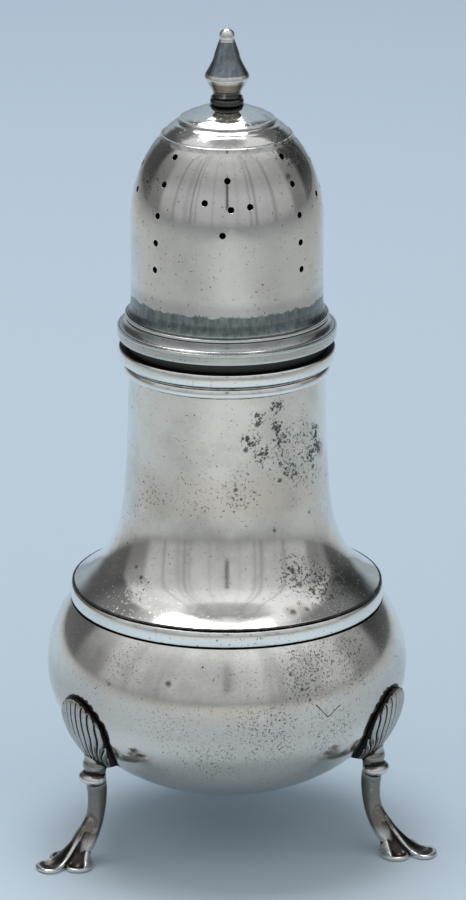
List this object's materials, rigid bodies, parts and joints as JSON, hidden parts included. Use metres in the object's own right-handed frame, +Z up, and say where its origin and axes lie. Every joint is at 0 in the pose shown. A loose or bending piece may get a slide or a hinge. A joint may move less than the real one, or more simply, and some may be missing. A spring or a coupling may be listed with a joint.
{
  "type": "pepper pot",
  "caption": "Small silver pepper pot with a bulbous bowl, tall waisted neck, cast shell legs with three-toed feet and a pierced pull-off dome cover with a turned finial.",
  "frame": {"origin": "on the pot's axis, in the plane of the table that the three feet stand on", "axes": "+Z up along the pot's axis from the feet to the finial; -Y is the front, between the two front legs; +X is to the right seen from the front"},
  "size_m": [0.0563, 0.0572, 0.1156],
  "materials": {
    "body_silver": "old polished silver, softly pitted and speckled with tarnish",
    "cover_silver": "old polished silver with blotches of tarnish on the crown",
    "cast_silver": "cast silver, dark in the grooves and hollows and bright on the edges",
    "tarnished_silver": "silver with blue-grey tarnish, bright on worn edges"
  },
  "bodies": {
    "pot": {"bowl": "body_silver", "shoulder_band": "body_silver", "neck": "body_silver", "body_collar": "body_silver", "leg_front_left": "cast_silver", "leg_front_right": "cast_silver", "leg_back": "cast_silver"},
    "cover": {"cover_sleeve": "tarnished_silver", "cover_rim": "tarnished_silver", "cover_dome": "cover_silver", "finial": "tarnished_silver"}
  },
  "joints": [
    {"name": "cover_lift", "type": "slide", "parent": "pot", "child": "cover", "axis": [0, 0, 1], "range_m": [0, 0.025]}
  ]
}
